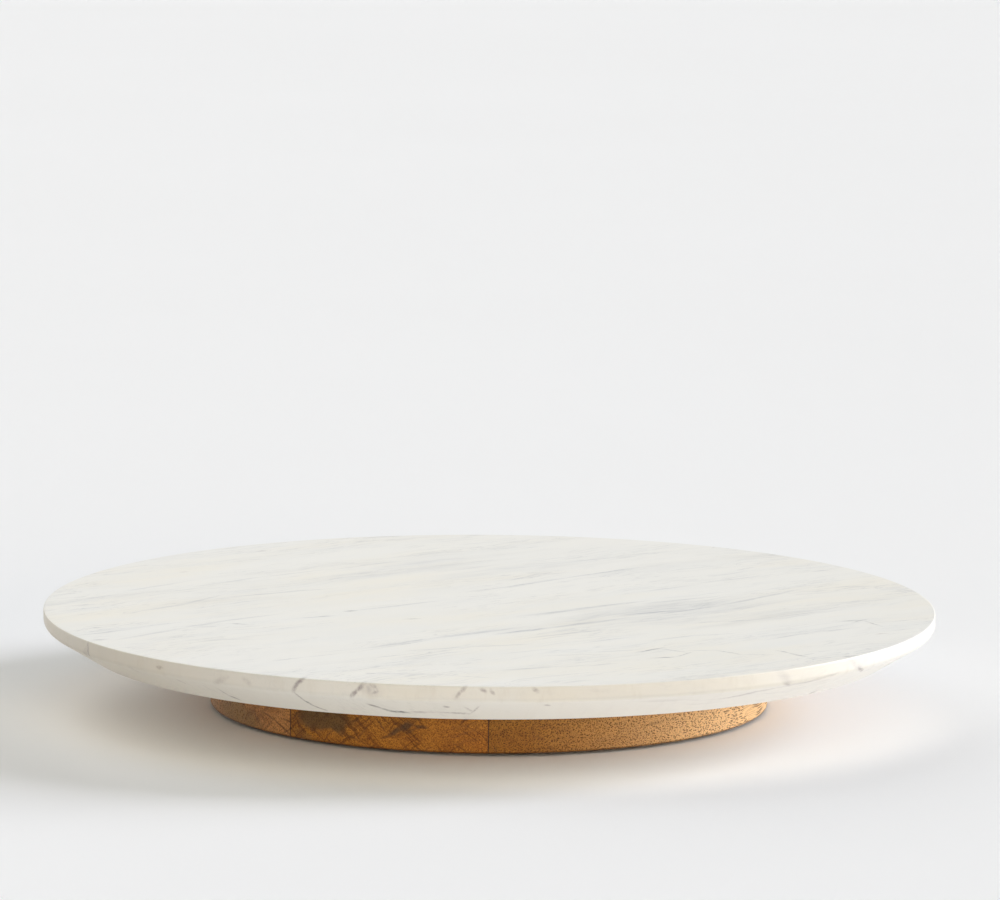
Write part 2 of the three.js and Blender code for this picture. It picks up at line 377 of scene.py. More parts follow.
# ---------------------------------------------------------------- marble
# Veins placed one by one, as soft ellipsoids (mm): centre x, y, z, rotation x, y, z (radians), half length, half width,
# depth, strength, tone (0 blue-grey, 1 dark, 2 brownish, 3 plum-grey, 4 pale grey patch)
VEINS = [
    (-167.9, -90.6, 51.0, 0.0, -0.0, 0.83, 34.9, 2.2, 5.0, 0.3, 0),
    (-142.7, -62.2, 51.0, 0.0, -0.0, 0.77, 23.8, 2.0, 5.0, 0.38, 0),
    (-121.0, -43.0, 51.0, 0.0, -0.0, 0.68, 21.7, 1.6, 5.0, 0.3, 0),
    (-193.2, -109.6, 51.0, 0.0, -0.0, 0.25, 5.1, 1.6, 5.0, 0.62, 1),
    (-197.2, -75.5, 51.0, 0.0, -0.0, 0.32, 3.9, 1.3, 5.0, 0.5, 1),
    (-125.9, -61.5, 51.0, -0.0, -0.0, -0.22, 6.9, 1.4, 5.0, 0.55, 1),
    (-124.2, -44.7, 51.0, 0.0, -0.0, 0.65, 35.5, 1.5, 5.0, 0.34, 0),
    (-90.2, -40.3, 51.0, 0.0, -0.0, 0.37, 15.8, 1.4, 5.0, 0.34, 0),
    (-83.0, -36.6, 51.0, 0.0, -0.0, 0.39, 6.6, 1.2, 5.0, 0.45, 1),
    (-70.9, -21.0, 51.0, 0.0, -0.0, 0.3, 5.2, 1.6, 5.0, 0.62, 1),
    (-46.1, -3.2, 51.0, 0.0, -0.0, 0.63, 39.2, 1.9, 5.0, 0.34, 0),
    (-39.0, -42.7, 51.0, 0.0, -0.0, 0.2, 6.3, 1.5, 5.0, 0.4, 1),
    (-164.3, -12.1, 51.0, 0.0, -0.0, 0.8, 22.4, 1.9, 5.0, 0.3, 0),
    (-146.8, 12.1, 51.0, 0.0, -0.0, 1.0, 22.7, 1.7, 5.0, 0.26, 0),
    (-116.4, 28.8, 51.0, 0.0, -0.0, 0.51, 36.2, 2.0, 5.0, 0.4, 0),
    (-97.4, 40.2, 51.0, 0.0, -0.0, 0.44, 21.1, 1.6, 5.0, 0.36, 0),
    (-162.0, 96.2, 51.0, 0.0, -0.0, 0.41, 4.1, 1.3, 5.0, 0.4, 2),
    (-123.7, 166.8, 51.0, 0.0, -0.0, 0.31, 4.5, 1.3, 5.0, 0.35, 2),
    (-44.4, -113.1, 51.0, 0.0, -0.0, 0.75, 28.7, 3.2, 5.0, 0.34, 0),
    (-7.8, -83.2, 51.0, 0.0, -0.0, 0.66, 42.0, 3.6, 5.0, 0.42, 0),
    (-42.3, -115.8, 51.0, 0.0, -0.0, 0.77, 28.9, 1.3, 5.0, 0.36, 0),
    (-49.7, -149.6, 51.0, 0.0, -0.0, 0.56, 13.1, 1.3, 5.0, 0.34, 0),
    (-25.7, -128.4, 51.0, 0.0, -0.0, 0.37, 23.3, 1.6, 5.0, 0.26, 0),
    (2.1, -118.4, 51.0, 0.0, -0.0, 0.27, 19.9, 1.6, 5.0, 0.24, 0),
    (-97.8, -158.9, 51.0, 0.0, -0.0, 0.61, 14.0, 1.3, 5.0, 0.28, 0),
    (-81.6, -147.9, 51.0, 0.0, -0.0, 0.54, 14.2, 1.2, 5.0, 0.22, 0),
    (-57.1, -195.8, 51.0, -0.0, -0.0, -0.12, 3.3, 1.2, 5.0, 0.6, 1),
    (-38.3, -196.9, 51.0, -0.0, -0.0, -0.02, 23.9, 1.3, 5.0, 0.38, 0),
    (-9.2, -202.8, 51.0, -0.0, -0.0, -0.3, 20.2, 1.3, 5.0, 0.22, 0),
    (-128.2, -106.1, 51.0, 0.0, -0.0, 0.13, 21.1, 1.8, 5.0, 0.18, 0),
    (21.8, 68.5, 51.0, 0.0, -0.0, 0.78, 33.0, 2.4, 5.0, 0.44, 0),
    (58.6, 103.0, 51.0, 0.0, -0.0, 0.73, 38.2, 2.0, 5.0, 0.42, 0),
    (16.5, 85.5, 51.0, 0.0, -0.0, 0.92, 16.1, 1.8, 5.0, 0.3, 0),
    (2.8, 51.0, 51.0, 0.0, -0.0, 0.72, 23.5, 1.8, 5.0, 0.22, 0),
    (33.8, -20.1, 51.0, 0.0, -0.0, 0.59, 29.9, 3.2, 5.0, 0.4, 0),
    (56.8, -1.1, 51.0, 0.0, -0.0, 0.63, 35.4, 3.2, 5.0, 0.44, 0),
    (84.6, -18.0, 51.0, 0.0, -0.0, 0.46, 28.1, 2.8, 5.0, 0.52, 0),
    (100.7, -11.9, 51.0, 0.0, -0.0, 0.69, 32.7, 2.0, 5.0, 0.5, 0),
    (139.9, 29.0, 51.0, 0.0, -0.0, 0.87, 49.0, 2.2, 5.0, 0.4, 0),
    (98.6, 19.6, 51.0, 0.0, -0.0, 0.56, 33.5, 2.4, 5.0, 0.3, 0),
    (17.9, -75.1, 51.0, 0.0, -0.0, 0.62, 24.5, 3.6, 5.0, 0.52, 0),
    (48.4, -52.1, 51.0, 0.0, -0.0, 0.67, 36.1, 3.4, 5.0, 0.46, 0),
    (38.9, -82.9, 51.0, 0.0, -0.0, 0.6, 30.9, 2.6, 5.0, 0.34, 0),
    (11.8, -115.7, 51.0, 0.0, -0.0, 0.4, 11.9, 1.8, 5.0, 0.28, 0),
    (20.1, -132.1, 51.0, 0.0, -0.0, 0.54, 23.2, 1.6, 5.0, 0.2, 0),
    (42.4, -142.0, 51.0, 0.0, -0.0, 0.19, 21.7, 1.3, 5.0, 0.34, 0),
    (61.9, -130.7, 51.0, 0.0, -0.0, 0.36, 18.1, 1.5, 5.0, 0.3, 0),
    (79.8, -126.2, 51.0, 0.0, -0.0, 0.78, 13.0, 1.4, 5.0, 0.6, 1),
    (85.1, -147.4, 51.0, 0.0, -0.0, 0.33, 9.8, 1.3, 5.0, 0.68, 1),
    (91.5, -128.3, 51.0, -0.0, -0.0, -0.7, 12.9, 1.1, 5.0, 0.34, 1),
    (95.7, -138.1, 51.0, 0.0, -0.0, 1.01, 10.6, 1.0, 5.0, 0.34, 1),
    (104.9, -127.0, 51.0, 0.0, -0.0, 0.22, 12.8, 1.3, 5.0, 0.28, 0),
    (118.2, -132.1, 51.0, -0.0, -0.0, -0.72, 12.0, 1.3, 5.0, 0.42, 1),
    (132.1, -137.2, 51.0, 0.0, -0.0, 0.07, 11.7, 1.2, 5.0, 0.26, 0),
    (144.7, -128.9, 51.0, -0.0, -0.0, -0.81, 7.2, 1.2, 5.0, 0.42, 1),
    (151.9, -138.3, 51.0, -0.0, -0.0, -0.88, 11.0, 1.5, 5.0, 0.44, 1),
    (156.4, -136.2, 51.0, 0.0, -0.0, 0.83, 8.5, 1.2, 5.0, 0.26, 0),
    (54.9, -167.9, 51.0, 0.0, -0.0, 0.53, 13.1, 1.7, 5.0, 0.34, 0),
    (20.8, -179.1, 51.0, 0.0, -0.0, 0.39, 24.5, 2.2, 5.0, 0.3, 0),
    (41.7, -172.5, 51.0, 0.0, -0.0, 0.53, 12.3, 1.6, 5.0, 0.2, 0),
    (59.6, -98.7, 51.0, 0.0, -0.0, 0.6, 16.5, 2.0, 5.0, 0.22, 0),
    (92.7, -91.9, 51.0, 0.0, -0.0, 0.65, 22.1, 2.0, 5.0, 0.26, 0),
    (112.9, -81.8, 51.0, 0.0, -0.0, 0.36, 18.6, 1.6, 5.0, 0.22, 0),
    (182.5, -39.2, 51.0, 0.0, -0.0, 0.18, 12.4, 1.3, 5.0, 0.42, 1),
    (188.1, -38.3, 51.0, 0.0, -0.0, 0.94, 10.5, 1.1, 5.0, 0.4, 1),
    (194.2, -46.9, 51.0, -0.0, -0.0, -1.1, 12.3, 1.1, 5.0, 0.4, 1),
    (197.1, -76.0, 51.0, 0.0, -0.0, 0.44, 5.7, 1.1, 5.0, 0.55, 2),
    (176.5, 114.6, 51.0, 0.0, -0.0, 0.56, 8.9, 1.6, 5.0, 0.34, 0),
    (195.9, 66.0, 51.0, 0.0, -0.0, 0.2, 26.7, 1.6, 5.0, 0.3, 0),
    (188.3, 60.6, 51.0, 0.0, -0.0, 0.74, 13.7, 1.5, 5.0, 0.25, 0),
    (111.4, -46.3, 51.0, 0.0, -0.0, 0.31, 9.9, 1.5, 5.0, 0.34, 0),
    (127.1, -41.2, 51.0, 0.0, -0.0, 0.34, 15.2, 1.5, 5.0, 0.42, 0),
    (156.2, -22.2, 51.0, 0.0, -0.0, 0.62, 33.7, 1.7, 5.0, 0.26, 0),
    (193.0, 20.6, 51.0, 0.0, -0.0, 0.42, 32.8, 1.8, 5.0, 0.24, 0),
    (177.1, -140.3, 51.0, 0.0, -0.0, 0.48, 7.0, 1.3, 5.0, 0.62, 1),
    (94.4, 56.6, 51.0, 0.0, -0.0, 0.69, 28.2, 2.2, 5.0, 0.22, 0),
    (129.6, 86.5, 51.0, 0.0, -0.0, 0.62, 31.2, 2.0, 5.0, 0.24, 0),
    (56.1, 146.6, 51.0, 0.0, -0.0, 0.59, 29.8, 2.0, 5.0, 0.26, 0),
    (86.7, 168.0, 51.0, 0.0, -0.0, 0.51, 25.3, 1.8, 5.0, 0.2, 0),
    (-36.6, 159.1, 51.0, 0.0, -0.0, 0.66, 27.4, 2.0, 5.0, 0.2, 0),
    (-67.6, 121.4, 51.0, 0.0, -0.0, 0.73, 31.2, 2.2, 5.0, 0.24, 0),
    (-203.5, 12.8, 51.0, 0.0, -0.0, 0.85, 33.8, 2.0, 5.0, 0.22, 0),
    (-174.6, 49.6, 51.0, 0.0, -0.0, 0.81, 33.1, 2.0, 5.0, 0.26, 0),
    (-133.0, 70.2, 51.0, 0.0, -0.0, 0.75, 29.3, 2.0, 5.0, 0.24, 0),
    (-102.5, 95.5, 51.0, 0.0, -0.0, 0.66, 29.6, 1.8, 5.0, 0.2, 0),
    (-10.5, 115.7, 51.0, 0.0, -0.0, 0.71, 28.2, 1.9, 5.0, 0.22, 0),
    (151.7, -83.0, 51.0, 0.0, -0.0, 0.75, 26.5, 1.8, 5.0, 0.26, 0),
    (177.0, -64.7, 51.0, 0.0, -0.0, 0.61, 18.4, 1.6, 5.0, 0.2, 0),
    (-198.0, -112.4, 46.1, -2.92, 1.3, 0.73, 6.0, 1.6, 7.0, 0.5, 3),
    (-198.2, -106.3, 42.7, -2.12, 0.59, 1.23, 10.5, 3.0, 7.0, 0.3, 3),
    (-160.5, -162.7, 47.0, 1.57, 0.0, -0.78, 3.5, 1.2, 7.0, 0.5, 2),
    (-128.3, -175.9, 37.2, 2.72, 0.53, 0.71, 5.9, 1.0, 7.0, 0.5, 3),
    (-123.5, -173.4, 34.3, 1.97, 0.41, 0.19, 4.8, 1.1, 7.0, 0.55, 3),
    (-129.2, -188.1, 45.3, 1.62, -0.49, -0.71, 7.3, 2.2, 7.0, 0.25, 3),
    (-116.5, -196.7, 46.7, 1.57, 0.55, -0.53, 4.7, 2.2, 7.0, 0.2, 3),
    (-90.6, -209.9, 49.2, -1.57, 0.66, 2.73, 4.2, 1.7, 7.0, 0.62, 3),
    (-92.6, -209.0, 46.5, -1.57, 1.04, 2.72, 4.8, 1.8, 7.0, 0.66, 3),
    (-91.1, -204.5, 41.5, 2.86, 0.62, 0.99, 8.3, 1.0, 7.0, 0.5, 3),
    (-86.8, -199.3, 37.0, 2.48, 0.51, 0.79, 6.5, 1.2, 7.0, 0.75, 1),
    (-81.4, -195.5, 33.7, 1.97, 0.41, 0.42, 5.9, 0.9, 7.0, 0.6, 3),
    (-61.3, -220.2, 48.8, -1.57, 0.73, 2.87, 4.6, 1.7, 7.0, 0.55, 3),
    (-64.2, -219.2, 45.7, -1.63, 0.86, 2.78, 5.0, 1.6, 7.0, 0.6, 3),
    (-56.8, -221.4, 47.9, 1.57, 0.15, -0.25, 9.0, 4.6, 7.0, 0.4, 4),
    (-54.9, -221.9, 49.5, 1.57, 0.47, -0.24, 3.1, 1.0, 7.0, 0.42, 3),
    (-54.4, -222.0, 46.8, 1.57, -0.36, -0.24, 3.0, 1.0, 7.0, 0.4, 3),
    (-55.2, -212.3, 38.2, 1.87, 0.37, 0.45, 5.7, 1.1, 7.0, 0.62, 3),
    (-49.8, -210.2, 36.2, 1.73, 0.29, 0.29, 5.6, 1.0, 7.0, 0.55, 1),
    (-43.5, -209.4, 34.9, 1.58, 0.08, -0.07, 7.3, 1.3, 7.0, 0.85, 1),
    (-31.3, -212.2, 35.4, 1.57, 0.0, -0.14, 10.9, 0.9, 7.0, 0.32, 3),
    (-16.2, -213.7, 35.3, 1.57, 0.02, -0.04, 11.1, 0.9, 7.0, 0.4, 3),
    (-6.6, -218.6, 37.8, 2.27, -0.49, -1.09, 8.2, 0.9, 7.0, 0.34, 3),
    (-9.9, -218.7, 38.0, 2.16, 0.47, 0.93, 7.5, 0.8, 7.0, 0.22, 3),
    (-12.1, -228.3, 49.4, -1.57, 0.75, 3.09, 3.5, 1.5, 7.0, 0.5, 3),
    (-14.5, -228.1, 46.8, -1.57, 0.96, 3.08, 4.0, 1.4, 7.0, 0.42, 3),
    (-2.6, -228.6, 49.2, 1.57, 0.38, -0.01, 3.1, 1.5, 7.0, 0.48, 3),
    (1.6, -228.6, 48.4, 1.57, 0.99, 0.01, 2.7, 1.3, 7.0, 0.46, 3),
    (22.4, -227.5, 49.3, 1.57, 0.65, 0.1, 3.0, 1.5, 7.0, 0.4, 3),
    (27.5, -222.2, 41.0, 1.63, 0.18, 0.44, 2.6, 0.9, 7.0, 0.4, 3),
    (-20.4, -221.0, 39.8, 1.57, 0.01, -0.07, 2.6, 0.8, 7.0, 0.5, 3),
    (180.3, -140.4, 46.7, 1.57, 0.57, 0.91, 9.1, 3.2, 7.0, 0.42, 4),
    (182.6, -134.8, 43.4, 1.68, 0.32, 1.28, 7.4, 1.0, 7.0, 0.6, 3),
    (143.5, -177.5, 46.6, 1.63, 0.72, 0.77, 10.0, 4.0, 7.0, 0.3, 4),
    (144.6, -174.7, 43.1, 1.73, 0.34, 1.15, 6.3, 1.0, 7.0, 0.4, 3),
    (126.2, -182.9, 40.3, 1.59, -0.11, 0.42, 21.7, 1.0, 7.0, 0.34, 3),
    (156.5, -163.1, 43.5, 1.58, -0.08, 0.69, 27.5, 1.1, 7.0, 0.42, 3),
    (159.2, -135.2, 31.9, 2.04, -0.43, -0.01, 4.2, 1.2, 7.0, 0.6, 3),
    (84.6, -207.2, 41.1, 1.57, 0.04, 0.45, 18.3, 1.4, 7.0, 0.12, 3),
    (52.1, -222.6, 48.4, 1.57, 0.1, 0.23, 7.1, 2.2, 7.0, 0.14, 4),
    (-173.8, -145.0, 42.4, 1.93, 0.4, -0.11, 4.6, 1.6, 7.0, 0.2, 3),
    (-149.9, -165.8, 40.7, 2.35, 0.5, 0.39, 5.0, 1.3, 7.0, 0.2, 3),
]


def marble():
    n = Nodes("marble")
    p = n.coords()
    mm = n.vmath("SCALE", p, scale=1000.0)
    streak_turn = (0, 0, math.radians(-37))
    # a slow wander and a finer tremble of the bedding
    wander = n.vmath("SUBTRACT", n.noise(mm, 0.012, 2, 0.5, colour=True), (0.5, 0.5, 0.5))
    tremble = n.vmath("SUBTRACT", n.noise(mm, 0.075, 3, 0.6, colour=True), (0.5, 0.5, 0.5))
    fine = n.vmath("SUBTRACT", n.noise(mm, 0.45, 2, 0.5, colour=True), (0.5, 0.5, 0.5))
    bent = n.vmath("ADD", mm, n.vmath("SCALE", wander, scale=26.0))
    slow = n.vmath("SUBTRACT", n.noise(mm, 0.045, 1, 0.4, colour=True), (0.5, 0.5, 0.5))
    bent = n.vmath("ADD", bent, n.vmath("SCALE", slow, scale=5.0))
    along = n.mapping(bent, rot=streak_turn)
    # broad soft streaks, gathered in clusters
    q1 = n.mapping(along, scale=(0.0035, 0.030, 0.030))
    broad = n.noise(q1, 1.0, 5, 0.58)
    q1g = n.mapping(along, loc=(3.1, 1.7, 0.4), scale=(0.006, 0.014, 0.014))
    gate1 = n.step(n.noise(q1g, 1.0, 2, 0.5), 0.44, 0.66)
    soft = n.math("MULTIPLY", n.step(broad, 0.50, 0.74), gate1)
    # fine drawn-out lines
    q2 = n.mapping(along, loc=(7.3, 2.2, 5.1), scale=(0.010, 0.125, 0.11))
    lines = n.noise(q2, 1.0, 4, 0.6)
    ridge = n.step(n.math("ABSOLUTE", n.math("SUBTRACT", lines, 0.5)), 0.0, 0.030, 1.0, 0.0)
    q2g = n.mapping(along, loc=(1.3, 9.2, 2.1), scale=(0.011, 0.030, 0.03))
    gate2 = n.step(n.noise(q2g, 1.0, 3, 0.55), 0.50, 0.68)
    hair = n.math("MULTIPLY", ridge, gate2)
    # a second set, thinner and closer together
    q6 = n.mapping(along, loc=(2.9, 8.1, 3.3), scale=(0.0075, 0.30, 0.25))
    thin = n.step(n.math("ABSOLUTE", n.math("SUBTRACT", n.noise(q6, 1.0, 3, 0.55), 0.5)), 0.0, 0.045, 1.0, 0.0)
    q6g = n.mapping(along, loc=(6.3, 1.2, 7.1), scale=(0.012, 0.045, 0.045))
    thin = n.math("MULTIPLY", thin, n.step(n.noise(q6g, 1.0, 3, 0.55), 0.42, 0.64))
    # fine grain of the streaks, used to break up everything
    q3 = n.mapping(along, scale=(0.035, 0.55, 0.5))
    comb = n.noise(q3, 1.0, 3, 0.6)
    comb_w = n.step(comb, 0.30, 0.66, 0.45, 1.25)
    up = n.step(n.normal_z(), 0.5, 0.95, 0.30, 1.0)
    grey = n.math("MULTIPLY_ADD", soft, 0.36, n.math("MULTIPLY", hair, 0.46))
    grey = n.math("MULTIPLY", n.math("MULTIPLY_ADD", thin, 0.30, grey), comb_w)
    grey = n.math("MULTIPLY", grey, up)

    # placed veins, wandering a little
    vp = n.vmath("ADD", mm, n.vmath("SCALE", tremble, scale=2.2))
    vp = n.vmath("ADD", vp, n.vmath("SCALE", fine, scale=1.0))
    # they are worked out in batches, each waiting for the one before, which keeps the shader's memory small
    masks = {}
    order = sorted(VEINS, key=lambda v: v[10])
    here = vp
    for k in range(0, len(order), 24):
        touched = set()
        for x, y, z, rx, ry, rz, ln, w, dp, s, tone in order[k : k + 24]:
            masks[tone] = n.spot(here, (x, y, z), (rx, ry, rz), (ln, w, dp), 0.12 if tone != 4 else 0.0, s, masks.get(tone))
            touched.add(tone)
        total = None
        for tone in sorted(touched):
            total = masks[tone] if total is None else n.math("ADD", total, masks[tone])
        here = n.vmath("ADD", vp, n.vmath("SCALE", n.join(total, total, total), scale=1e-6))

    # ground: white, with cream clouds drawn out the same way
    q4 = n.mapping(along, loc=(0.7, 0.2, 0.3), scale=(0.005, 0.016, 0.016))
    cream = n.step(n.noise(q4, 1.0, 4, 0.55), 0.40, 0.70)
    q5 = n.mapping(along, loc=(4.7, 3.2, 1.3), scale=(0.012, 0.06, 0.06))
    cloud = n.step(n.noise(q5, 1.0, 3, 0.5), 0.35, 0.7)
    ground = n.mix(cream, WHITE, CREAM)
    ground = n.mix(n.math("MULTIPLY", cloud, 0.35), ground, COOL)
    # painted shade: the vertical band is darkened by its normal; painted light: the downward-facing bevel is painted
    # paler
    nz = n.normal_z()
    ground = n.mix(n.step(n.math("ABSOLUTE", nz), 0.35, 0.88, 1.0, 0.0), ground, (0.79, 0.785, 0.78), "MULTIPLY")
    around = n.math("MULTIPLY", n.math("ARCTAN2", n.xyz(mm)[1], n.xyz(mm)[0]), TOP_R)
    height = n.xyz(mm)[2]
    stain = n.noise(n.join(n.math("MULTIPLY", around, 0.16), n.math("MULTIPLY", height, 0.05), 0.0), 1.0, 4, 0.6)
    rim = n.step(nz, 0.5, 0.8, 1.0, 0.0)
    ground = n.mix(n.math("MULTIPLY", n.step(stain, 0.48, 0.74, 0.0, 0.22), rim), ground, (0.52, 0.47, 0.41))
    # painted light: downward faces (bevel and underside) are lightened, standing for bounce light from the floor
    ground = n.mix(n.step(nz, -0.90, -0.70, 0.75, 0.0), ground, (0.90, 0.885, 0.845))
    # painted shade: the rim and bevel are darkened and browned towards the left, away from the light
    painted_left_shade = n.math("MULTIPLY", n.step(n.xyz(mm)[0], -215.0, -60.0, 0.47, 0.0), rim)
    ground = n.mix(painted_left_shade, ground, (0.52, 0.435, 0.315))
    c = n.mix(grey, ground, GREY)
    c = n.mix(n.math("MULTIPLY", masks[4], comb_w), c, (0.36, 0.34, 0.36))
    c = n.mix(n.math("MULTIPLY", masks[0], n.math("MULTIPLY", comb_w, 1.15)), c, (0.38, 0.39, 0.415))
    c = n.mix(n.math("MULTIPLY", masks[3], comb_w), c, (0.17, 0.13, 0.15))
    c = n.mix(n.math("MULTIPLY", masks[2], comb_w), c, (0.20, 0.14, 0.11))
    c = n.mix(n.math("MULTIPLY", masks[1], comb_w), c, (0.13, 0.13, 0.15))

    # crystals: faint sparkle of the calcite grain in colour, gloss and relief
    grain = n.voronoi(mm, 1.1, 1.0)
    c = n.mix(n.step(grain, 0.1, 0.9, 0.0, 0.035), c, (0.62, 0.60, 0.56))
    rough = n.step(n.noise(mm, 0.9, 3, 0.6), 0.3, 0.7, 0.36, 0.46)
    relief = n.math("ADD", n.math("MULTIPLY", n.noise(mm, 1.6, 3, 0.6), 0.6), n.math("MULTIPLY", n.noise(mm, 0.05, 2, 0.5), 1.5))
    return n.finish(
        c, rough, n.bump(relief, 0.00003, 0.6),
        Subsurface_Weight=0.0, IOR=1.49,
    )


WHITE = (0.86, 0.845, 0.80)
CREAM = (0.865, 0.83, 0.745)
COOL = (0.80, 0.80, 0.78)
GREY = (0.40, 0.405, 0.425)


# ---------------------------------------------------------------- wood
def wood(name, tones, pore_strength, patches=(), slashes=(), offset=0.0, cross=0.0, painted_right_light=0.0):
    """Mango board: vessels run along the board (Y of the boards' frame), so they show as dots on the ends of the board
    and as dashes on its sides."""
    n = Nodes(name)
    p = n.coords()
    world_mm = n.vmath("SCALE", p, scale=1000.0)
    local = n.mapping(world_mm, loc=(offset, 0, 0), rot=(0, 0, math.radians(-BOARD_ANGLE)))
    light, mid, dark = tones
    # growth bands across the board
    band_v = n.mapping(local, scale=(0.030, 0.0016, 0.055))
    bands = n.noise(band_v, 1.0, 4, 0.55, 0.6)
    ring_v = n.mapping(local, loc=(2.0, 0.3, 1.0), scale=(0.10, 0.0012, 0.22))
    rings = n.noise(ring_v, 1.0, 3, 0.5, 0.9)
    fib_v = n.mapping(local, scale=(1.5, 0.035, 1.5))
    fibre = n.noise(fib_v, 1.0, 4, 0.65)
    c = n.mix(n.step(bands, 0.32, 0.68), light, mid)
    c = n.mix(n.step(rings, 0.46, 0.72, 0.0, 0.55), c, dark)
    c = n.mix(n.step(fibre, 0.35, 0.75, 0.0, 0.28), c, dark)
    # fine grain of the cut fibres
    speck = n.noise(n.mapping(local, scale=(1.15, 0.16, 1.15)), 1.0, 3, 0.62)
    c = n.mix(n.step(speck, 0.50, 0.66, 0.0, 0.42), c, tuple(min(1.0, v * 1.25) for v in light))
    c = n.mix(n.step(speck, 0.34, 0.50, 0.45, 0.0), c, tuple(v * 0.8 for v in dark))
    wob = n.vmath("SUBTRACT", n.noise(world_mm, 0.10, 3, 0.6, colour=True), (0.5, 0.5, 0.5))
    wp = n.vmath("ADD", world_mm, n.vmath("SCALE", wob, scale=9.0))
    for (x, y, z, rx, ry, rz, a, b, d, s), tone in patches:
        c = n.mix(n.spot(wp, (x, y, z), (rx, ry, rz), (a, b, d), 0.55, s), c, tone)
    if painted_right_light > 0:
        # painted light: the board lightens towards +X, the right-hand side of the base where the light from the right
        # falls
        east = n.xyz(world_mm)[0]
        c = n.mix(n.step(east, 12.0, 150.0, 0.0, painted_right_light), c, (0.86, 0.54, 0.25))
    # slanting dark figure: fine strokes crossing both ways on the rim
    height = n.xyz(world_mm)[2]
    if cross > 0:
        around = n.math("MULTIPLY", n.math("ARCTAN2", n.xyz(world_mm)[1], n.xyz(world_mm)[0]), BASE_R)
        jit = n.math("MULTIPLY", n.math("SUBTRACT", n.noise(world_mm, 0.16, 2, 0.5), 0.5), 5.0)
        gate = n.step(n.noise(n.mapping(world_mm, loc=(5, 3, 1)), 0.075, 2, 0.5), 0.34, 0.52)
        wx, wy, wz = n.xyz(world_mm)
        from_axis = n.math("SQRT", n.math("ADD", n.math("MULTIPLY", wx, wx), n.math("MULTIPLY", wy, wy)))
        gate = n.math("MULTIPLY", gate, n.step(from_axis, BASE_R - 9.0, BASE_R - 1.5))
        for slope, k in ((1.15, 0.52), (-1.25, 0.40)):
            line = n.math("ADD", n.math("MULTIPLY_ADD", height, slope, around), jit)
            band = n.noise(n.join(n.math("MULTIPLY", line, k), n.math("MULTIPLY", height, 0.05), 0.0), 1.0, 3, 0.55)
            c = n.mix(n.math("MULTIPLY", n.step(band, 0.52, 0.61, 0.0, cross), gate), c, tuple(v * 0.42 for v in dark))
    ws = n.vmath("ADD", world_mm, n.vmath("SCALE", wob, scale=4.0))
    for (x, y, z, rx, ry, rz, a, b, d, s), tone in slashes:
        c = n.mix(n.spot(ws, (x, y, z), (rx, ry, rz), (a, b, d), 0.2, s), c, tone)
    # vessels run on along the board, in two sizes, and wander a little
    lx, ly, lz = n.xyz(local)
    sway = n.vmath("SCALE", n.vmath("SUBTRACT", n.noise(n.mapping(local, scale=(0.05, 0.02, 0.05)), 1.0, 2, 0.5, colour=True), (0.5, 0.5, 0.5)), scale=9.0)
    end = n.vmath("ADD", n.join(lx, lz, 0.0), sway)
    v1 = n.voronoi(end, 1.02, 1.0, flat=True)
    here = n.step(n.noise(n.mapping(local, loc=(3, 1, 2), scale=(0.55, 0.07, 0.55)), 1.0, 2, 0.6), 0.36, 0.48)
    pores = n.math("MULTIPLY", n.step(v1, 0.16, 0.38, 1.0, 0.0), here)
    v2 = n.voronoi(n.vmath("ADD", end, (0.4, 0.8, 0.0)), 1.75, 1.0, flat=True)
    small = n.step(v2, 0.20, 0.42, 1.0, 0.0)
    c = n.mix(n.math("MULTIPLY", small, pore_strength * 0.50), c, tuple(v * 0.42 for v in dark))
    c = n.mix(n.math("MULTIPLY", pores, pore_strength), c, tuple(v * 0.22 for v in dark))
    # glue lines, and painted shade along the bottom arris
    sx = n.xyz(n.mapping(world_mm, rot=(0, 0, math.radians(-BOARD_ANGLE))))[0]
    for seam in (SEAM_1, SEAM_2):
        near = n.step(n.math("ABSOLUTE", n.math("SUBTRACT", sx, seam)), 0.10, 0.50, 0.85, 0.0)
        c = n.mix(near, c, (0.030, 0.016, 0.008))
    # painted shade: the lowest 1.4 mm of the rim is darkened, standing for the contact shadow under the base
    lip = n.step(height, WOOD_Z0 + 0.2, WOOD_Z0 + 1.4, 0.70, 0.0)
    c = n.mix(lip, c, tuple(v * 0.35 for v in dark))
    rough = n.math("ADD", n.step(fibre, 0.3, 0.7, 0.42, 0.56), n.math("MULTIPLY", pores, 0.25))
    relief = n.math("SUBTRACT", n.math("MULTIPLY", fibre, 0.30), n.math("MULTIPLY", pores, 1.0))
    relief = n.math("SUBTRACT", relief, n.math("MULTIPLY", small, 0.35))
    return n.finish(c, rough, n.bump(relief, 0.00016, 0.7), IOR=1.38)


# ---------------------------------------------------------------- metals, nylon and rubber
def zinc():
    n = Nodes("zinc_plated_steel")
    mm = n.vmath("SCALE", n.coords(), scale=1000.0)
    x, y, z = n.xyz(mm)
    radius = n.math("SQRT", n.math("ADD", n.math("MULTIPLY", x, x), n.math("MULTIPLY", y, y)))
    turned = n.noise(n.join(n.math("MULTIPLY", radius, 2.4), n.math("MULTIPLY", z, 2.4), 0.0), 1.0, 3, 0.6)
    bloom = n.noise(mm, 0.10, 4, 0.6)
    spots = n.noise(mm, 0.8, 3, 0.6)
    c = n.mix(n.step(bloom, 0.35, 0.7), (0.58, 0.60, 0.62), (0.66, 0.66, 0.63))
    c = n.mix(n.step(spots, 0.62, 0.78, 0.0, 0.35), c, (0.36, 0.36, 0.35))
    rough = n.math("ADD", n.step(bloom, 0.3, 0.7, 0.26, 0.40), n.math("MULTIPLY", turned, 0.10))
    return n.finish(c, rough, n.bump(n.math("ADD", turned, n.math("MULTIPLY", spots, 0.4)), 0.00002, 0.5), Metallic=1.0)


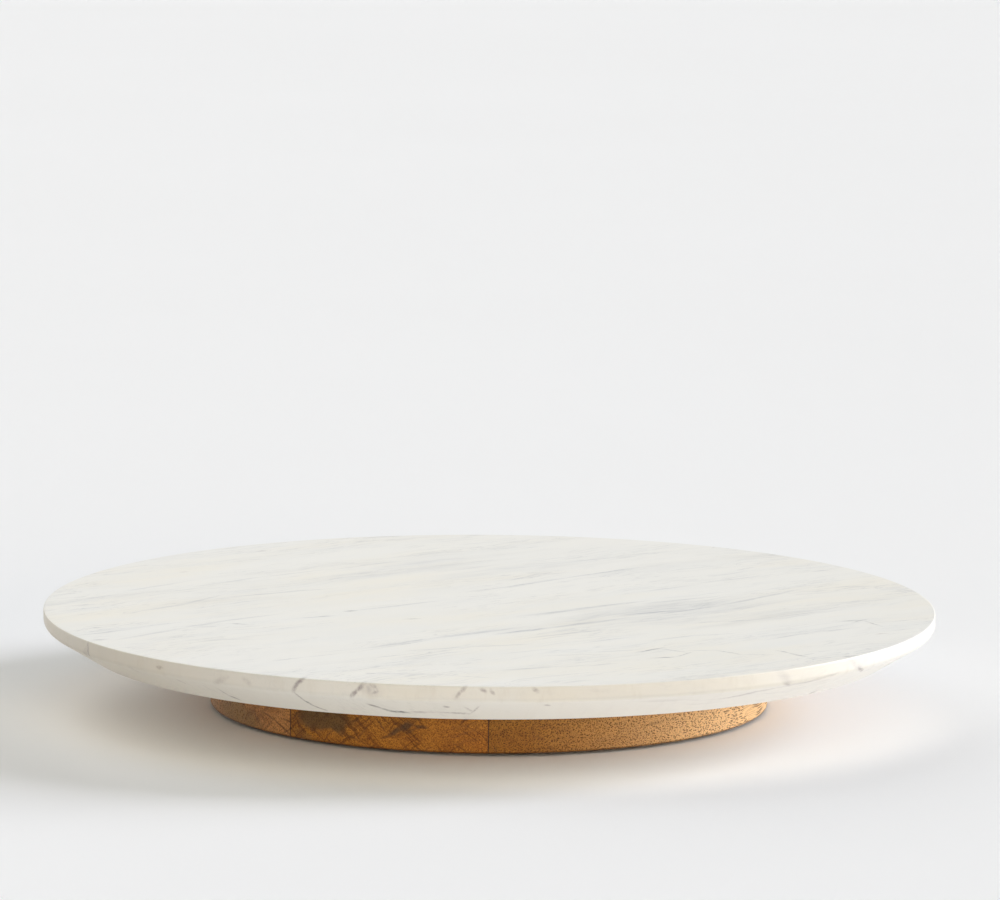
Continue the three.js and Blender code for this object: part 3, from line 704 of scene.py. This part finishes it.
def ball_steel():
    n = Nodes("ball_steel")
    mm = n.vmath("SCALE", n.coords(), scale=1000.0)
    film = n.noise(mm, 0.5, 3, 0.5)
    c = n.mix(n.step(film, 0.4, 0.7), (0.66, 0.67, 0.69), (0.58, 0.57, 0.54))
    return n.finish(c, n.step(film, 0.3, 0.7, 0.07, 0.16), Metallic=1.0)


def nylon():
    n = Nodes("nylon")
    mm = n.vmath("SCALE", n.coords(), scale=1000.0)
    a = n.noise(mm, 0.15, 3, 0.5)
    b = n.noise(mm, 3.0, 3, 0.6)
    c = n.mix(n.step(a, 0.35, 0.65), (0.80, 0.77, 0.68), (0.74, 0.70, 0.60))
    return n.finish(c, n.step(b, 0.3, 0.7, 0.42, 0.55), n.bump(b, 0.00002, 0.5), IOR=1.53)


def brass():
    n = Nodes("brass")
    mm = n.vmath("SCALE", n.coords(), scale=1000.0)
    a = n.noise(n.mapping(mm, scale=(0.4, 0.4, 4.0)), 1.0, 3, 0.6)
    b = n.noise(mm, 0.5, 3, 0.5)
    c = n.mix(n.step(b, 0.35, 0.7), (0.72, 0.50, 0.18), (0.52, 0.34, 0.12))
    return n.finish(c, n.step(a, 0.3, 0.7, 0.24, 0.40), n.bump(a, 0.00002, 0.4), Metallic=1.0)


def rubber():
    n = Nodes("rubber")
    mm = n.vmath("SCALE", n.coords(), scale=1000.0)
    a = n.noise(mm, 2.2, 4, 0.65)
    dust = n.step(n.noise(mm, 0.25, 3, 0.55), 0.50, 0.75, 0.0, 0.35)
    c = n.mix(dust, (0.022, 0.021, 0.020), (0.075, 0.070, 0.062))
    return n.finish(c, n.step(a, 0.3, 0.7, 0.68, 0.88), n.bump(a, 0.00006, 0.7), IOR=1.52)


# ---------------------------------------------------------------- marble top
mat_marble = marble()
ridge_z = STONE_Z1 - BAND_H
stone_section = (
    [(0, STONE_Z1), (TOP_R * 0.4, STONE_Z1), (TOP_R * 0.8, STONE_Z1), (TOP_R - 1.6, STONE_Z1)]
    + fillet((TOP_R - 5, STONE_Z1), (TOP_R, STONE_Z1), (TOP_R, ridge_z), 0.7, 6)
    + [(TOP_R, STONE_Z1 - 1.4), (TOP_R, STONE_Z1 - 3.2)]
    + fillet((TOP_R, STONE_Z1), (TOP_R, ridge_z), (BEVEL_R, STONE_Z0), 3.4, 10)
    + [(TOP_R - 8, ridge_z - 8 * (ridge_z - STONE_Z0) / (TOP_R - BEVEL_R))]
    + fillet((TOP_R, ridge_z), (BEVEL_R, STONE_Z0), (0, STONE_Z0), 0.6, 5)
    + [(BEVEL_R - 2.5, STONE_Z0), (TOP_R * 0.6, STONE_Z0), (TOP_R * 0.3, STONE_Z0), (0, STONE_Z0)]
)
top = new_object("marble_disc", lathe(stone_section, 384), 40)
sockets = []
for a in (0, 90, 180, 270):
    x, y = polar(SCREW_R, a + BOARD_ANGLE)
    sockets.append(rod(x, y, STONE_Z0 - 2, STONE_Z0 + 12, 4.25, 40))
cut(top, merged(sockets), smooth_angle=40)
piece(top, "marble_top", "turntable", mat_marble)

# ---------------------------------------------------------------- base boards
# Figure of the boards: soft ellipsoids (mm) with their own tone
LEFT_PATCHES = [
    ((-125.44, -65.71, 4.7, 1.57, 0.12, -1.09, 29.24, 11.5, 14.0, 0.92), (0.36, 0.19, 0.056)),
    ((-138.74, -33.31, 3.55, 1.57, -0.06, -1.34, 16.01, 5.0, 10.0, 0.6), (0.4, 0.23, 0.09)),
]
LEFT_LINES = [
    ((-102.53, -99.5, 5.74, 1.57, 0.41, -0.8, 12.48, 0.9, 9.0, 0.75), (0.07, 0.035, 0.015)),
    ((-109.8, -91.74, 9.52, 1.57, 0.33, -0.87, 7.22, 0.7, 9.0, 0.6), (0.09, 0.045, 0.02)),
    ((-99.42, -102.9, 8.95, 1.57, 0.29, -0.77, 7.21, 0.8, 9.0, 0.6), (0.08, 0.04, 0.018)),
    ((-98.9, -103.48, 5.26, 1.57, -0.67, -0.76, 6.49, 0.6, 9.0, 0.45), (0.1, 0.05, 0.02)),
    ((-109.79, -91.85, 5.21, 1.57, -0.8, -0.87, 6.95, 0.6, 9.0, 0.4), (0.1, 0.05, 0.02)),
    ((-116.11, -83.69, 7.42, 1.57, 0.85, -0.95, 8.37, 1.2, 9.0, 0.5), (0.1, 0.06, 0.03)),
    ((-102.5, -99.86, 1.99, 1.57, -0.45, -0.8, 6.87, 0.6, 9.0, 0.4), (0.1, 0.05, 0.02)),
]
MIDDLE_PATCHES = [
    ((-81.41, -116.58, 13.23, 1.57, -0.03, -0.61, 22.51, 7.5, 16.0, 0.88), (0.155, 0.09, 0.03)),
    ((-73.76, -122.71, 9.43, 1.57, 0.89, -0.54, 6.42, 4.0, 12.0, 0.7), (0.155, 0.09, 0.03)),
    ((-91.46, -110.07, 3.31, 1.57, 0.27, -0.69, 7.14, 3.0, 10.0, 0.5), (0.2, 0.105, 0.035)),
]
MIDDLE_LINES = [
    ((-46.11, -135.53, 11.11, 1.57, -0.55, -0.33, 5.78, 2.1, 9.0, 0.8), (0.075, 0.052, 0.028)),
    ((-40.43, -137.32, 14.26, 1.57, -0.48, -0.29, 6.11, 2.8, 9.0, 0.82), (0.07, 0.048, 0.026)),
    ((-33.27, -139.21, 14.17, 1.57, 0.22, -0.23, 5.9, 1.3, 9.0, 0.75), (0.06, 0.036, 0.018)),
    ((-37.71, -138.09, 12.42, 1.57, -0.45, -0.27, 5.59, 0.9, 9.0, 0.6), (0.09, 0.05, 0.02)),
    ((-51.05, -133.74, 7.97, 1.57, -0.39, -0.36, 5.02, 1.0, 9.0, 0.55), (0.09, 0.05, 0.02)),
    ((-85.11, -115.08, 6.35, 1.57, 0.42, -0.64, 5.9, 0.8, 9.0, 0.5), (0.1, 0.05, 0.02)),
    ((-79.04, -119.34, 5.45, 1.57, -0.73, -0.58, 6.82, 0.8, 9.0, 0.5), (0.09, 0.045, 0.02)),
    ((-66.73, -126.61, 5.46, 1.57, 0.26, -0.49, 6.05, 0.8, 9.0, 0.5), (0.09, 0.045, 0.02)),
    ((-62.5, -128.8, 8.68, 1.57, -0.92, -0.45, 6.62, 0.9, 9.0, 0.5), (0.09, 0.045, 0.02)),
    ((-53.06, -132.95, 13.32, 1.57, 0.87, -0.38, 7.04, 0.8, 9.0, 0.55), (0.09, 0.045, 0.02)),
    ((-65.02, -127.56, 15.45, 1.57, -0.56, -0.47, 4.12, 0.8, 9.0, 0.4), (0.09, 0.045, 0.02)),
    ((-36.75, -138.37, 18.49, 1.57, 0.19, -0.26, 4.15, 1.4, 9.0, 0.6), (0.09, 0.06, 0.03)),
    ((-12.58, -142.2, 11.15, 1.57, -0.28, -0.09, 14.0, 1.1, 9.0, 0.3), (0.2, 0.085, 0.025)),
    ((-13.59, -142.1, 14.63, 1.57, -0.24, -0.1, 13.79, 0.9, 9.0, 0.25), (0.2, 0.085, 0.025)),
    ((-10.59, -142.43, 7.21, 1.57, -0.21, -0.07, 12.52, 0.9, 9.0, 0.25), (0.2, 0.085, 0.025)),
]
RIGHT_LINES = [
    ((2.71, -143.17, 3.96, 1.57, 0.98, 0.02, 2.47, 1.0, 9.0, 0.5), (0.05, 0.03, 0.015)),
    ((81.93, -117.13, 12.27, 1.57, -0.16, 0.61, 10.54, 1.3, 9.0, 0.3), (0.14, 0.07, 0.025)),
    ((86.83, -113.74, 2.56, 1.57, -0.21, 0.65, 6.76, 1.0, 9.0, 0.28), (0.14, 0.07, 0.025)),
    ((64.94, -127.14, 6.54, 1.57, -0.07, 0.47, 13.48, 1.4, 9.0, 0.18), (0.16, 0.08, 0.03)),
]
mat_left = wood("mango_left", ((0.70, 0.325, 0.100), (0.58, 0.250, 0.070), (0.32, 0.122, 0.030)), 0.56, LEFT_PATCHES, LEFT_LINES, offset=31.0, cross=0.36)
mat_middle = wood("mango_middle", ((0.58, 0.238, 0.030), (0.46, 0.168, 0.018), (0.24, 0.080, 0.009)), 0.62, MIDDLE_PATCHES, MIDDLE_LINES, offset=11.0, cross=0.64)
mat_right = wood("mango_right", ((0.44, 0.188, 0.022), (0.35, 0.138, 0.014), (0.20, 0.072, 0.008)), 0.80, (), RIGHT_LINES, offset=0.0, painted_right_light=0.95)
base_section = (
    [(0, WOOD_Z0), (BASE_R * 0.5, WOOD_Z0), (BASE_R - 2.2, WOOD_Z0)]
    + fillet((0, WOOD_Z0), (BASE_R, WOOD_Z0), (BASE_R, WOOD_Z1), 0.8, 5)
    + [(BASE_R, WOOD_Z0 + 2.0), (BASE_R, (WOOD_Z0 + WOOD_Z1) / 2), (BASE_R, WOOD_Z1 - 2.0)]
    + fillet((BASE_R, WOOD_Z0), (BASE_R, WOOD_Z1), (92.5, WOOD_Z1), 0.8, 5)
    + [(BASE_R - 2.2, WOOD_Z1), (95.0, WOOD_Z1)]
    + fillet((BASE_R, WOOD_Z1), (92.5, WOOD_Z1), (92.5, BEARING_Z0), 0.3, 3)
    + [(92.5, BEARING_Z0), (50, BEARING_Z0), (0, BEARING_Z0)]
)
wood_holes = [rod(SCREW_R, 0, WOOD_Z0 - 2, BEARING_Z0 + 2, 6.0, 64)]
for a in (45, 135, 225, 315):
    x, y = polar(SCREW_R, a)
    wood_holes.append(rod(x, y, BEARING_Z0 - 12.5, BEARING_Z0 + 2, 1.9, 24))
disc = new_object("base_disc", lathe(base_section, 384), 40)
cut(disc, merged(wood_holes), smooth_angle=40)
far = BASE_R + 6
for label, x0, x1, mat in (
    ("left", -far, SEAM_1 - 0.05, mat_left),
    ("middle", SEAM_1 + 0.05, SEAM_2 - 0.05, mat_middle),
    ("right", SEAM_2 + 0.05, far, mat_right),
):
    board = disc.copy()
    board.data = disc.data.copy()
    board.name = "mango_board_" + label
    scene.collection.objects.link(board)
    cut(board, block(x0, x1, -far, far, WOOD_Z0 - 5, WOOD_Z1 + 5), "INTERSECT", 40)
    place(board)
    piece(board, "base_board_" + label, "base", mat)
bpy.data.objects.remove(disc)

# ---------------------------------------------------------------- bearing
mat_zinc, mat_ball, mat_nylon, mat_brass, mat_rubber = zinc(), ball_steel(), nylon(), brass(), rubber()


def plate_section(inner):
    """Mounting face at height 0, race zone raised, races facing up."""
    depth = 1.2
    r_top, r_back = 2.9, 3.8
    lip = SHEET + RAISE

    def groove(r, level, sign, n=9):
        half = math.sqrt(r * r - (r - depth) ** 2)
        a = math.asin(half / r)
        return [
            (PITCH_R + sign * r * math.sin(a * i / n), level - (r * math.cos(a * i / n) - (r - depth)))
            for i in range(-n, n + 1)
        ]

    pts = [(inner, RAISE + 0.15), (inner + 0.15, RAISE)] + groove(r_back, RAISE, 1)
    pts += fillet((64, RAISE), (69.5, RAISE), (72.5, 0), 1.2, 4) + fillet((69.5, RAISE), (72.5, 0), (90, 0), 1.2, 4)
    pts += [(89.7, 0), (90, 0.3), (90, SHEET - 0.3), (89.7, SHEET)]
    pts += fillet((90, SHEET), (72.1, SHEET), (69.1, lip), 0.8, 4) + fillet((72.1, SHEET), (69.1, lip), (64, lip), 1.4, 4)
    pts += groove(r_top, lip, -1) + [(inner + 0.15, lip), (inner, lip - 0.15)]
    return pts


lower = new_object("lower_race_plate", lathe([(r, z + BEARING_Z0) for r, z in plate_section(33.9)], 256), 40)
tools = [rod(SCREW_R, 0, BEARING_Z0 - 2, BEARING_Z0 + 4, 6.0, 64)]
for a in (45, 135, 225, 315):
    x, y = polar(SCREW_R, a)
    tools.append(rod(x, y, BEARING_Z0 - 2, BEARING_Z0 + 4, 2.1, 32))
cut(lower, merged(tools), smooth_angle=40)
place(lower)
piece(lower, "lower_bearing_plate", "base", mat_zinc)

upper = new_object("upper_race_plate", lathe([(r, BEARING_Z1 - z) for r, z in plate_section(34.5)][::-1], 256), 40)
tools = []
for a in (0, 90, 180, 270):
    x, y = polar(SCREW_R, a)
    tools.append(rod(x, y, BEARING_Z1 - 4, BEARING_Z1 + 2, 2.4, 32))
cut(upper, merged(tools), smooth_angle=40)
place(upper)
piece(upper, "upper_bearing_plate", "turntable", mat_zinc)

lo_f, up_f = BEARING_Z0 + RAISE - 0.05, BEARING_Z1 - RAISE + 0.25
rivet_section = rounded(
    [(31, lo_f - 0.9), (39, lo_f - 0.9), (39, lo_f), (33.6, lo_f), (33.6, up_f), (38.3, up_f), (38.3, up_f + 0.9), (31, up_f + 0.9)],
    [0.4, 0.35, 0.3, 0.2, 0.3, 0.4, 0.4, 1.2],
)
rivet = new_object("hollow_rivet", lathe(rivet_section, 192), 40)
place(rivet)
piece(rivet, "centre_rivet", "base", mat_zinc)

cage_section = rounded([(53, BALL_Z - 0.5), (67, BALL_Z - 0.5), (67, BALL_Z + 0.5), (53, BALL_Z + 0.5)], [0.2] * 4)
cage = new_object("ball_retainer", lathe(cage_section, 256), 40)
tools = []
for i in range(BALLS):
    x, y = polar(PITCH_R, 360 / BALLS * i)
    tools.append(rod(x, y, BALL_Z - 3, BALL_Z + 3, 2.75, 40))
cut(cage, merged(tools), smooth_angle=40)
place(cage)
piece(cage, "ball_cage", "cage", mat_nylon)

for i in range(BALLS):
    x, y = polar(PITCH_R, 360 / BALLS * i)
    bm = bmesh.new()
    bmesh.ops.create_icosphere(bm, subdivisions=4, radius=BALL_R)
    ball = new_object(f"steel_ball_{i + 1:02d}", bm, 60)
    place(ball, x, y, BALL_Z)
    piece(ball, f"ball_{i + 1:02d}", "cage", mat_ball)


# ---------------------------------------------------------------- screws and inserts
def threaded(r, z0, z1, pitch, depth, segs=40, taper=0.0, tip=0.0):
    """A solid rod with a helical thread. taper is the share of the length that narrows to tip towards z0."""
    steps = int((z1 - z0) / pitch * 8)
    bm = bmesh.new()
    rings = []
    for k in range(steps + 1):
        z = z0 + (z1 - z0) * k / steps
        t = (z - z0) / (z1 - z0)
        body = r if taper == 0 else min(r, tip + (r - tip) * t / taper)
        ring = []
        for i in range(segs):
            ph = (z / pitch - i / segs) % 1.0
            crest = 1 - abs(2 * ph - 1)
            fade = min(1.0, (1 - t) * 12)
            ring.append(bm.verts.new((*polar(max(0.15, body - depth * (1 - crest) * fade), 360 * i / segs), z)))
        rings.append(ring)
    for a, b in zip(rings, rings[1:]):
        for i in range(segs):
            j = (i + 1) % segs
            bm.faces.new((a[i], a[j], b[j], b[i]))
    bm.faces.new(rings[0][::-1])
    bm.faces.new(rings[-1])
    return bm


def cross_recess(z_open, z_floor, reach, width):
    """A Phillips-like recess that narrows towards its floor."""
    parts = []
    for swap in (False, True):
        bm = bmesh.new()
        vs = []
        for z, a, b in ((z_open, reach, width / 2), (z_floor, reach * 0.35, width * 0.32)):
            ring = [(-a, -b), (a, -b), (a, b), (-a, b)]
            vs.append([bm.verts.new((y, x, z) if swap else (x, y, z)) for x, y in ring])
        for i in range(4):
            j = (i + 1) % 4
            bm.faces.new((vs[0][i], vs[0][j], vs[1][j], vs[1][i]))
        bm.faces.new(vs[0])
        bm.faces.new(vs[1])
        bmesh.ops.recalc_face_normals(bm, faces=bm.faces)
        parts.append(bm)
    return parts


for i, a in enumerate((0, 90, 180, 270)):
    x, y = polar(SCREW_R, a)
    h = BEARING_Z1 - SHEET
    head = lathe(
        [(0, h - 2.2), (1.4, h - 2.2)] + fillet((0, h - 2.2), (3.0, h - 2.1), (3.8, h), 1.3, 6)
        + fillet((3.0, h - 2.1), (3.8, h), (0, h), 0.2, 3) + [(1.6, h), (0, h)], 64)
    screw = new_object(f"machine_screw_{i + 1}", head, 40)
    cut(screw, threaded(2.0, h - 0.4, h + 10.0, 0.7, 0.36), "UNION", 40)
    for tool in cross_recess(h - 2.4, h - 0.7, 2.3, 0.95):
        cut(screw, tool, smooth_angle=40)
    place(screw, x, y, 0)
    piece(screw, f"plate_screw_{i + 1}", "turntable", mat_zinc)

    # threaded insert with a diamond knurl
    segs, steps, length = 72, 44, 11.0
    bm = bmesh.new()
    rings = []
    for k in range(steps + 1):
        z = STONE_Z0 + length * k / steps
        ring = []
        for j in range(segs):
            t = 2 * math.pi * j / segs
            w = abs(math.sin(9 * t + z * 1.6)) * abs(math.sin(9 * t - z * 1.6))
            edge = min(1.0, k / 4, (steps - k) / 4)
            waist = 0.35 if 18 <= k <= 25 else 0.0
            r = 3.72 + 0.27 * w * edge - waist * edge
            ring.append(bm.verts.new((r * math.cos(t), r * math.sin(t), z)))
        rings.append(ring)
    for u, v in zip(rings, rings[1:]):
        for j in range(segs):
            l = (j + 1) % segs
            bm.faces.new((u[j], u[l], v[l], v[j]))
    bm.faces.new(rings[0][::-1])
    bm.faces.new(rings[-1])
    insert = new_object(f"brass_insert_{i + 1}", bm, 35)
    cut(insert, rod(0, 0, STONE_Z0 - 1, STONE_Z0 + length - 1.2, 2.25, 40), smooth_angle=35)
    place(insert, x, y, 0)
    piece(insert, f"threaded_insert_{i + 1}", "turntable", mat_brass)

for i, a in enumerate((45, 135, 225, 315)):
    x, y = polar(SCREW_R, a)
    z = BEARING_Z0 + SHEET
    head = lathe(
        [(0, z), (1.4, z)] + fillet((0, z), (3.6, z), (3.4, z + 1.8), 0.2, 3)
        + fillet((3.6, z), (3.3, z + 1.7), (0, z + 1.9), 1.2, 6) + [(1.4, z + 1.9), (0, z + 1.9)], 64)
    screw = new_object(f"pan_head_wood_screw_{i + 1}", head, 40)
    cut(screw, threaded(1.6, z - 13.0, z + 0.4, 1.3, 0.5, taper=0.28, tip=0.3), "UNION", 40)
    for tool in cross_recess(z + 2.1, z + 0.5, 2.1, 0.9):
        cut(screw, tool, smooth_angle=40)
    place(screw, x, y, 0)
    piece(screw, f"wood_screw_{i + 1}", "base", mat_zinc)

# ---------------------------------------------------------------- rubber feet
foot_section = (
    [(0, 0.25), (4.5, 0.25)] + fillet((4.5, 0.25), (5.2, 0.0), (9, 0), 0.6, 3)
    + fillet((6, 0), (9.5, 0), (9.5, WOOD_Z0), 0.7, 6) + fillet((9.5, 0), (9.5, WOOD_Z0), (0, WOOD_Z0), 0.2, 3)
    + [(5, WOOD_Z0), (0, WOOD_Z0)]
)
for i, a in enumerate((45, 135, 225, 315)):
    x, y = polar(120, a)
    foot = new_object(f"rubber_pad_{i + 1}", lathe(foot_section, 72), 40)
    place(foot, x, y, 0)
    piece(foot, f"rubber_foot_{i + 1}", "base", mat_rubber)

# ---------------------------------------------------------------- floor
def floor_material():
    n = Nodes("pale_floor")
    p = n.coords()
    a = n.noise(p, 1.3, 3, 0.5)
    c = n.mix(n.step(a, 0.3, 0.7), FLOOR_A, FLOOR_B)
    return n.finish(c, 0.75, n.bump(n.noise(p, 900.0, 2, 0.5), 0.00002, 0.3), IOR=1.35)


FLOOR_A, FLOOR_B = (0.925, 0.925, 0.922), (0.932, 0.932, 0.930)
bm = bmesh.new()
bmesh.ops.create_grid(bm, x_segments=8, y_segments=8, size=16000)
floor = new_object("floor", bm)
floor.data.materials.append(floor_material())

# ---------------------------------------------------------------- light
world = bpy.data.worlds.new("studio")
scene.world = world
world.use_nodes = True
wt = world.node_tree
wt.nodes.clear()
w_out = wt.nodes.new("ShaderNodeOutputWorld")
w_bg = wt.nodes.new("ShaderNodeBackground")
w_tc = wt.nodes.new("ShaderNodeTexCoord")
w_sep = wt.nodes.new("ShaderNodeSeparateXYZ")
w_ramp = wt.nodes.new("ShaderNodeValToRGB")
ramp = w_ramp.color_ramp
ramp.elements[0].position, ramp.elements[0].color = 0.12, (0.75, 0.75, 0.745, 1)
ramp.elements[1].position, ramp.elements[1].color = 0.35, (0.08, 0.08, 0.08, 1)
wt.links.new(w_tc.outputs["Generated"], w_sep.inputs[0])
wt.links.new(w_sep.outputs[2], w_ramp.inputs[0])
wt.links.new(w_ramp.outputs[0], w_bg.inputs[0])
w_bg.inputs[1].default_value = 1.0
wt.links.new(w_bg.outputs[0], w_out.inputs[0])


def sun(name, azimuth, elevation, spread, r, g, b):
    """A distant soft light. The azimuth is counted from +X towards +Y; r, g, b are its irradiance in W/m2."""
    d = bpy.data.lights.new(name, "SUN")
    d.energy = max(r, g, b)
    d.color = (r / d.energy, g / d.energy, b / d.energy)
    d.angle = math.radians(spread)
    o = bpy.data.objects.new(name, d)
    scene.collection.objects.link(o)
    az, el = math.radians(azimuth), math.radians(elevation)
    o.rotation_euler = Vector((math.cos(el) * math.cos(az), math.cos(el) * math.sin(az), math.sin(el))).to_track_quat("Z", "Y").to_euler()
    return o


sun("window_right", 20, 20, 30, 2.70, 2.75, 3.05)
sun("window_right_low", 15, 6, 12, 0.82, 0.86, 0.82)
sun("window_left_back", 135, 30, 60, 1.45, 1.42, 1.36)
sun("window_back_low", 90, 10, 20, 0.09, 0.09, 0.08)
sun("room_front", -90, 35, 60, 1.00, 0.92, 0.74)
sun("room_front_low", -60, 8, 16, 0.95, 0.80, 0.62)
sun("ceiling", 0, 85, 60, 0.09, 0.16, 0.24)

# ---------------------------------------------------------------- camera
R = TOP_R * MM
DIST, ELEV = 13.492 * R, math.radians(9.786)
YAW, PITCH, ROLL = math.radians(-0.089), math.radians(1.481), math.radians(-0.418)
eye = Vector((0, -DIST * math.cos(ELEV), DIST * math.sin(ELEV)))
fwd = -eye.normalized()
right = Vector((1, 0, 0))
up = right.cross(fwd)
for ax, ang in ((up, YAW), (None, PITCH), (None, ROLL)):
    if ax is None:
        ax = right if ang == PITCH else fwd
    q = Matrix.Rotation(ang, 3, ax)
    fwd, right, up = q @ fwd, q @ right, q @ up
cam_data = bpy.data.cameras.new("camera")
cam_data.sensor_width = 36
cam_data.sensor_fit = "HORIZONTAL"
cam_data.lens = 216
cam_data.clip_end = 100
cam = bpy.data.objects.new("camera", cam_data)
scene.collection.objects.link(cam)
eye = eye + Vector((0, 0, STONE_Z1 * MM))
cam.matrix_world = Matrix(
    (
        (right.x, up.x, -fwd.x, eye.x),
        (right.y, up.y, -fwd.y, eye.y),
        (right.z, up.z, -fwd.z, eye.z),
        (0, 0, 0, 1),
    )
)
scene.camera = cam
scene.view_settings.view_transform = "Standard"
scene.view_settings.look = "None"
scene.view_settings.exposure = 0.0
scene.view_settings.gamma = 1.0
